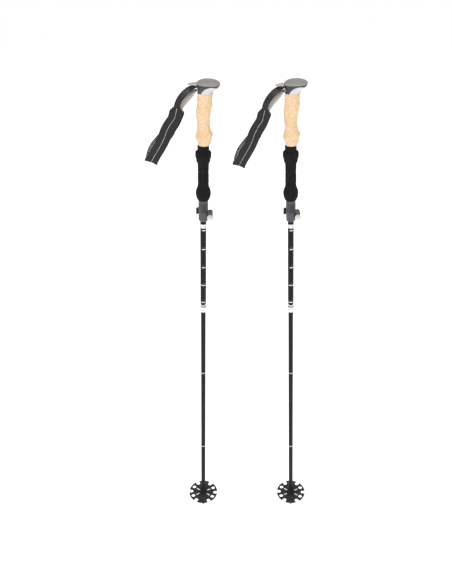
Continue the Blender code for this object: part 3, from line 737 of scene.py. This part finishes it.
def build_clamp(side, matrix):
    collar_profile = [(9.9, 1038.0), (11.0, 1037.0), (11.0, 991.0), (10.3, 987.2), (9.4, 985.5),
                      (8.8, 985.5), (8.8, 1038.0)]
    collar = turned(side + "collar_skin", collar_profile, matrix, "collar", 96, 0.0)
    ears = block((9.2, -5.5, 990), (21.5, 5.5, 1006), matrix)
    tidy(ears)
    carve(collar, ears, "UNION")
    slit = block((3, -1.2, 970), (30, 1.2, 1012), matrix)
    bore = cylinder(1.9, -9, 9, along_y(matrix, *BOLT))
    carve(collar, slit)
    carve(collar, bore)
    drop(ears, slit, bore)
    tools = []
    for k in range(RIB_COUNT):
        z = RIB_LOW + RIB_PITCH * k
        groove = turned(side + "groove", [(12.5, z + 0.55), (12.5, z - 0.55), (10.45, z - 0.35),
                                          (10.45, z + 0.35)], matrix, None, 96, 0.0)
        keep = block((-20, -20, z - 3), (20, 2, z + 3), matrix @ Matrix.Rotation(math.radians(35), 4,
                                                                                  "Z"))
        carve(groove, keep, "INTERSECT")
        carve(collar, groove)
        tools += [groove, keep]
    drop(*tools)
    recoat(collar, "collar", 0.3)
    place(collar, side, "handle", "clamp_collar", "clamp_collar")
    # Dark strips laid over the front grooves of the collar: painted shade in the grooves, not a dark
    # part of the collar.
    for k in range(RIB_COUNT):
        z = RIB_LOW + RIB_PITCH * k
        rib = band(side + "groove_shade_%d" % k, 11.0, z - 0.65, z + 0.65, -8, 82, matrix, "dark", lift=0.12)
        place(rib, side, "handle")

    knob_matrix = along_y(matrix, *BOLT)
    verts = []
    steps = 96
    rings = [(0.001, 12.05), (2.0, 12.05), (2.6, 12.6), (5.9, 12.6), (6.6, 12.2), (7.2, 11.4),
             (7.2, 8.8), (6.6, 7.9), (6.2, 7.7), (1.9, 7.7), (1.9, 11.5), (0.001, 11.5)]
    for r, z in rings:
        for k in range(steps):
            a = 2 * math.pi * k / steps
            knurl = 1.0
            if r > 6.5:
                knurl = 1.0 - 0.055 * (0.5 + 0.5 * math.cos(24 * a))
            verts.append((r * knurl * math.cos(a), r * knurl * math.sin(a), z))
    faces = []
    for i in range(len(rings) - 1):
        for k in range(steps):
            m = (k + 1) % steps
            faces.append((i * steps + k, i * steps + m, (i + 1) * steps + m, (i + 1) * steps + k))
    knob = made(side + "knob_skin", verts, faces, knob_matrix, "silver")
    bm = bmesh.new()
    bm.from_mesh(knob.data)
    bmesh.ops.remove_doubles(bm, verts=bm.verts, dist=0.000003)
    bm.to_mesh(knob.data)
    bm.free()
    place(tidy(knob, 0.0, angle=40), side, "knob", "clamp_knob", "clamp_knob")

    # Lever: an arm round the back of the collar, from a toothed cam to a thumb tab.
    pivot = matrix @ Matrix.Translation((BOLT[0], BARREL_Y, BOLT[1]))
    outer = []
    inner = []
    spans = 36
    for k in range(spans + 1):
        a = math.radians(44 + 124 * k / spans)
        tab = max(0.0, (k / spans - 0.667) * 3)
        outer.append(((15.2 + 2.0 * tab) * math.cos(a), (15.2 + 2.0 * tab) * math.sin(a)))
        inner.append(((12.1 + 0.6 * tab) * math.cos(a), (12.1 + 0.6 * tab) * math.sin(a)))
    points = outer + inner[::-1]
    count = len(points)
    shift = (BOLT[0], BARREL_Y)
    rise = [LEVER_RISE * min(max((k / spans - 1 / 6) * 1.5, 0.0), 1.0) for k in range(spans + 1)]
    rise += rise[::-1]
    verts = [(x - shift[0], y - shift[1], up - 7.5) for (x, y), up in zip(points, rise)]
    verts += [(x - shift[0], y - shift[1], up + 7.5) for (x, y), up in zip(points, rise)]
    faces = []
    for k in range(spans):
        quad = (k, k + 1, count - 2 - k, count - 1 - k)
        faces.append(tuple(reversed(quad)))
        faces.append(tuple(v + count for v in quad))
    for k in range(count):
        m = (k + 1) % count
        faces.append((k, m, m + count, k + count))
    lever = tidy(made(side + "lever_skin", verts, faces, pivot, "lever"))
    teeth = 14
    cam_points = []
    for k in range(teeth * 8):
        a = 2 * math.pi * k / (teeth * 8)
        cam_points.append((5.3 - 0.35 * (0.5 + 0.5 * math.cos(teeth * a)), a))
    ring = [(r * math.cos(a), r * math.sin(a)) for r, a in cam_points]
    n = len(ring)
    cam_verts = [(x, y, -7.5) for x, y in ring] + [(x, y, 7.5) for x, y in ring]
    cam_faces = [tuple(reversed(range(n))), tuple(range(n, 2 * n))]
    cam_faces += [(k, (k + 1) % n, (k + 1) % n + n, k + n) for k in range(n)]
    cam = made("tool", cam_verts, cam_faces, pivot, None, smooth=False)
    hole = cylinder(3.4, -9, 9, pivot)
    slot = cylinder(8.0, -3.5, 3.5, pivot)
    carve(lever, cam, "UNION")
    carve(lever, hole)
    carve(lever, slot)
    drop(cam, hole, slot)
    recoat(lever, "lever", 0.25)
    place(lever, side, "lever", "clamp_lever", "clamp_lever")
    place(turned(side + "bushing_skin", [(8.4, 996), (8.4, 986.2), (7.4, 986.2), (7.4, 996)], matrix,
                 "dark", 64, 0.3), side, "handle", "clamp_bushing", "clamp_bushing")
    bolt = [(0.0001, 11.2), (1.5, 11.2), (1.5, -13.4), (0.0001, -13.4)]
    place(turned(side + "bolt_skin", bolt, knob_matrix, "steel", 32, 0.2, closed=False), side,
          "handle", "clamp_bolt", "clamp_bolt")
    barrel = turned(side + "barrel_skin", [(0.0001, 7.0), (3.0, 7.0), (3.0, -7.0), (0.0001, -7.0)],
                    pivot, "dark", 48, 0.0, closed=False)
    cross = cylinder(1.9, -6, 6, pivot @ Matrix.Rotation(math.radians(90), 4, "X"))
    carve(barrel, cross)
    drop(cross)
    recoat(barrel, "dark", 0.2)
    place(barrel, side, "handle", "lever_pin", "lever_pin")


def tube(name, outer, bore, low, high, matrix, look="shaft", bevel=0.25, steps=64):
    profile = [(outer, high), (outer, low), (bore, low), (bore, high)]
    return turned(name, profile, matrix, look, steps, bevel)


def band(name, radius, low, high, a0, a1, matrix, look="white", skew=0.0, rows=24, lift=0.06):
    """A thin patch on a tube, between two angles from the front: printed marks, and on the clamp
    collar the painted shade in its grooves.
    """
    verts = []
    for k in range(rows + 1):
        t = k / rows
        a = math.radians(-90 + a0 + (a1 - a0) * t)
        bend = skew * abs(2 * t - 1)
        for r in (radius + lift, radius - 0.1):
            for z in (low + bend, high + bend):
                verts.append((r * math.cos(a), r * math.sin(a), z))
    faces = []
    for k in range(rows):
        b = 4 * k
        for i, j in ((0, 1), (1, 3), (3, 2), (2, 0)):
            faces.append((b + i, b + j, b + 4 + j, b + 4 + i))
    faces.append((0, 1, 3, 2))
    end = 4 * rows
    faces.append((end, end + 2, end + 3, end + 1))
    return tidy(made(name, verts, faces, matrix, look))


def digits(name, text, radius, z, matrix, size=3.4):
    """Small printed length number wrapped round the front of a tube."""
    curve = bpy.data.curves.new(name, "FONT")
    curve.body = text
    curve.size = size
    curve.align_x = "CENTER"
    curve.align_y = "CENTER"
    curve.resolution_u = 2
    flat = bpy.data.objects.new(name + "_flat", curve)
    bpy.context.scene.collection.objects.link(flat)
    graph = bpy.context.evaluated_depsgraph_get()
    mesh = bpy.data.meshes.new_from_object(flat.evaluated_get(graph))
    drop(flat)
    for v in mesh.vertices:
        a = -math.pi / 2 + v.co.x / radius
        v.co = matrix @ Vector(((radius + 0.07) * math.cos(a), (radius + 0.07) * math.sin(a),
                                z + v.co.y))
    obj = bpy.data.objects.new(name, mesh)
    bpy.context.scene.collection.objects.link(obj)
    mesh.materials.clear()
    mesh.materials.append(MATS["faint"])
    return obj


def build_shaft(side, matrix):
    grad = tube(side + "graduated_skin", 7.0, 6.4, 747.0, 1052.0, matrix)
    inner = tube(side + "inner_skin", 6.0, 5.2, 534.2, 800.0, matrix)
    hole = cylinder(2.6, 3, 12, matrix @ Matrix.Translation((0, 0, BUTTON_Z))
                    @ Matrix.Rotation(math.radians(-90), 4, "X"))
    for obj in (grad, inner):
        obj.modifiers.clear()
        carve(obj, hole)
        recoat(obj, "shaft", 0.2)
    drop(hole)
    place(grad, side, "shaft", "graduated_tube", "graduated_tube")
    place(inner, side, "shaft", "top_section", "top_section")
    button = [(0.0001, 8.4), (1.5, 8.3), (2.0, 7.7), (2.2, 7.0), (2.2, 3.7), (2.9, 3.7), (2.9, 2.6),
              (0.0001, 2.6)]
    place(turned(side + "button_skin", button, matrix @ Matrix.Translation((0, 0, BUTTON_Z))
                 @ Matrix.Rotation(math.radians(-90), 4, "X"), "steel", 32, 0.1, closed=False),
          side, "button", "release_button", "release_button")
    place(tube(side + "white_collar", 7.4, 6.35, 731.5, 746.7, matrix, "white", 0.5), side, "shaft",
          "end_collar", "end_collar")
    plug = [(0.0001, 1060), (6.6, 1060), (7.25, 1059.2), (7.25, 1052.3), (6.1, 1052.3),
            (6.1, 1042), (0.0001, 1042)]
    place(turned(side + "plug_skin", plug, matrix, "dark", 48, 0.2, closed=False), side, "shaft",
          "tube_plug", "tube_plug")
    place(tube(side + "carrier_skin", 8.4, 7.6, 996.4, 1275.0, matrix, "steel"), side, "handle",
          "upper_tube", "upper_tube")
    # Printed marks: length scale, a plain badge and a chevron above the white collar.
    for k in range(5):
        z = 762.0 + 50.0 * k
        left = (-62, -50, -23, -23, -23)[k]
        place(band(side + "mark_%d" % k, 7.0, z - 1.15, z + 1.15, left, 56, matrix), side, "shaft")
        place(digits(side + "number_%d" % k, str(130 - 5 * k), 7.0, z + 5.2, matrix), side, "shaft")
        for m in range(1, 5):
            tick = z + 10.0 * m
            if tick < 960:
                place(band(side + "tick_%d_%d" % (k, m), 7.0, tick - 0.2, tick + 0.2, 34, 52,
                           matrix, "faint", rows=8), side, "shaft")
    place(band(side + "badge", 7.0, 967.5, 977.5, -62, 62, matrix), side, "shaft")
    place(band(side + "chevron", 7.0, 748.6, 752.6, -80, 80, matrix, skew=3.4), side, "shaft")


def build_lower(side, matrix):
    for z, tag, body in ((534.0, "a", "section_b"), (260.0, "b", "section_c")):
        spigot = [(1.7, z + 9.0), (2.5, z + 9.0), (4.1, z + 5.0), (4.7, z - 0.1), (6.35, z - 0.1),
                  (6.35, z - 2.1), (4.8, z - 2.1), (4.8, z - 14.0), (1.7, z - 14.0)]
        place(turned(side + "spigot_skin_" + tag, spigot, matrix, "ring", 64, 0.12), side, body,
              "spigot_" + tag, "spigot_" + tag)
        rope = [(0.0001, z + 22.0), (1.2, z + 22.0), (1.2, z - 19.0), (0.0001, z - 19.0)]
        place(turned(side + "cord_skin_" + tag, rope, matrix, "cord", 24, 0.1, closed=False), side,
              "link_" + tag, "cord_" + tag, "cord_" + tag)
    place(tube(side + "middle_skin", 6.0, 5.2, 260.2, 531.6, matrix), side, "section_b",
          "middle_section", "middle_section")
    place(tube(side + "bottom_skin", 6.0, 5.2, 62.3, 257.6, matrix), side, "section_c",
          "bottom_section", "bottom_section")
    holder = [(0.0001, 62.0), (6.35, 62.0), (6.35, 75.0), (6.9, 75.0), (7.0, 69.2), (8.6, 68.4),
              (8.6, 65.4), (7.0, 65.1), (7.0, 50.0), (6.2, 46.0), (5.2, 30.0), (3.6, 13.0),
              (3.2, 10.0), (2.3, 10.0), (2.3, 22.0), (0.0001, 22.0)]
    place(turned(side + "holder_skin", holder, matrix, "dark", 64, 0.2, closed=False), side,
          "section_c", "tip_holder", "tip_holder")
    tip = [(0.0001, 20.0), (1.9, 20.0), (1.9, 2.2), (1.2, 0.0), (0.0001, 0.0)]
    place(turned(side + "tip_skin", tip, matrix, "carbide", 32, 0.1, closed=False), side,
          "section_c", "carbide_tip", "carbide_tip")


def lobe_frames(side, matrix, k):
    """Local frames turned to one notch of the basket and to the lobe beside it."""
    a = math.radians(60 * k + BASKET_TURN + BASKET_TOE[side])
    b = a + math.radians(30)
    return matrix @ Matrix.Rotation(a, 4, "Z"), matrix @ Matrix.Rotation(b, 4, "Z")


def build_basket(side, matrix):
    z = 57.6
    plate = [(0.0001, z + 1.1), (40.4, z + 1.1), (40.9, z + 1.8), (42.1, z + 1.8), (42.5, z + 1.3),
             (42.5, z - 0.8), (42.0, z - 1.1), (0.0001, z - 1.1)]
    body = turned(side + "basket_skin", plate, matrix, "basket", 120, 0.0, closed=False)
    tools = []
    for k in range(6):
        turn_a, turn_b = lobe_frames(side, matrix, k)
        rib = block((9.0, -0.7, z - 0.5), (29.5, 0.7, z + 2.5), turn_a)
        carve(body, rib, "UNION")
        tools.append(rib)
        if k not in CLOSED_LOBES:
            bead = cylinder(6.9, z - 0.5, z + 1.9, turn_b @ Matrix.Translation((33.2, 0, 0)), 32)
            carve(body, bead, "UNION")
            tools.append(bead)
    hub = cylinder(10.4, 49.8, 64.9, matrix, 64)
    carve(body, hub, "UNION")
    tools.append(hub)
    for k in range(6):
        turn_a, turn_b = lobe_frames(side, matrix, k)
        notch = cylinder(5.6, z - 9, z + 9, turn_a @ Matrix.Translation((36, 0, 0)), 32)
        mouth = block((36, -5.6, z - 9), (50, 5.6, z + 9), turn_a)
        cuts = [notch, mouth]
        if k not in CLOSED_LOBES:
            cuts.append(cylinder(5.6, z - 9, z + 9, turn_b @ Matrix.Translation((33.2, 0, 0)), 32))
            cuts.append(block((14.3, -1.7, z - 9), (22.7, 1.7, z + 9), turn_b))
            cuts += [cylinder(1.7, z - 9, z + 9, turn_b @ Matrix.Translation((x, 0, 0)), 16)
                     for x in (14.3, 22.7)]
        else:
            # The front and back lobes have two shallow grooves instead.
            cuts += [block((24.0, y - 0.6, z + 0.5), (39.0, y + 0.6, z + 9), turn_b)
                     for y in (-3.6, 3.6)]
        for tool in cuts:
            carve(body, tool)
        tools += cuts
    bore = cylinder(7.4, 40, 80, matrix, 64)
    carve(body, bore)
    drop(bore, *tools)
    recoat(body, "basket", 0.25)
    place(body, side, "basket", "snow_basket", "snow_basket")


POLES = {"left_": pole_matrix(-1.0), "right_": pole_matrix(1.0)}
for side in POLES:
    build_grip(side, LOCAL)
    build_strap(side, LOCAL)
    build_clamp(side, LOCAL)
    build_shaft(side, LOCAL)
    build_lower(side, LOCAL)
    build_basket(side, LOCAL)


# ---------------------------------------------------------------- stage

def add_stage():
    floor_mesh = bpy.data.meshes.new("floor")
    bm = bmesh.new()
    bmesh.ops.create_grid(bm, x_segments=1, y_segments=1, size=6.0)
    bm.to_mesh(floor_mesh)
    bm.free()
    floor = bpy.data.objects.new("floor", floor_mesh)
    bpy.context.scene.collection.objects.link(floor)
    look = Look("floor_paper", specular=0.1)
    look.colour(look.ramp(look.noise(3.0), [(0.0, (0.95, 0.95, 0.95)), (1.0, (0.98, 0.98, 0.98))]))
    look.shader.inputs["Roughness"].default_value = 0.95
    look.shader.inputs["Emission Color"].default_value = (1.0, 1.0, 1.0, 1.0)
    look.shader.inputs["Emission Strength"].default_value = 0.6
    floor_mesh.materials.append(look.mat)
    bpy.context.scene.view_settings.view_transform = "Standard"

    world = bpy.data.worlds.new("studio")
    world.use_nodes = True
    tree = world.node_tree
    back = tree.nodes["Background"]
    back.inputs["Color"].default_value = (1.0, 1.0, 1.0, 1.0)
    rays = tree.nodes.new("ShaderNodeLightPath")
    level = tree.nodes.new("ShaderNodeMapRange")
    level.inputs["To Min"].default_value = SKY_LIGHT
    level.inputs["To Max"].default_value = 1.0
    tree.links.new(rays.outputs["Is Camera Ray"], level.inputs["Value"])
    tree.links.new(level.outputs["Result"], back.inputs["Strength"])
    bpy.context.scene.world = world

    for name, at, size, power in (("key", (-1.6, -1.6, 2.6), 1.6, 32.0),
                                  ("fill", (1.8, -1.2, 1.8), 1.4, 13.0),
                                  ("back", (0.4, 1.6, 2.4), 1.4, 12.0)):
        light = bpy.data.lights.new(name, "AREA")
        light.shape = "SQUARE"
        light.size = size
        light.energy = power
        lamp = bpy.data.objects.new(name, light)
        lamp.location = at
        lamp.rotation_euler = (Vector((0, 0, 0.7)) - Vector(at)).to_track_quat("-Z", "Y").to_euler()
        bpy.context.scene.collection.objects.link(lamp)


def add_camera():
    data = bpy.data.cameras.new("camera")
    camera = bpy.data.objects.new("camera", data)
    data.sensor_width = 36.0
    data.lens = 40.8
    data.clip_start = 0.05
    data.shift_x = -0.036
    camera.location = (CENTRE_SHIFT_X * MM, -1.369, 1.677)
    camera.rotation_euler = (math.radians(90 - 33.0), 0, 0)
    bpy.context.scene.collection.objects.link(camera)
    bpy.context.scene.camera = camera


add_stage()
add_camera()
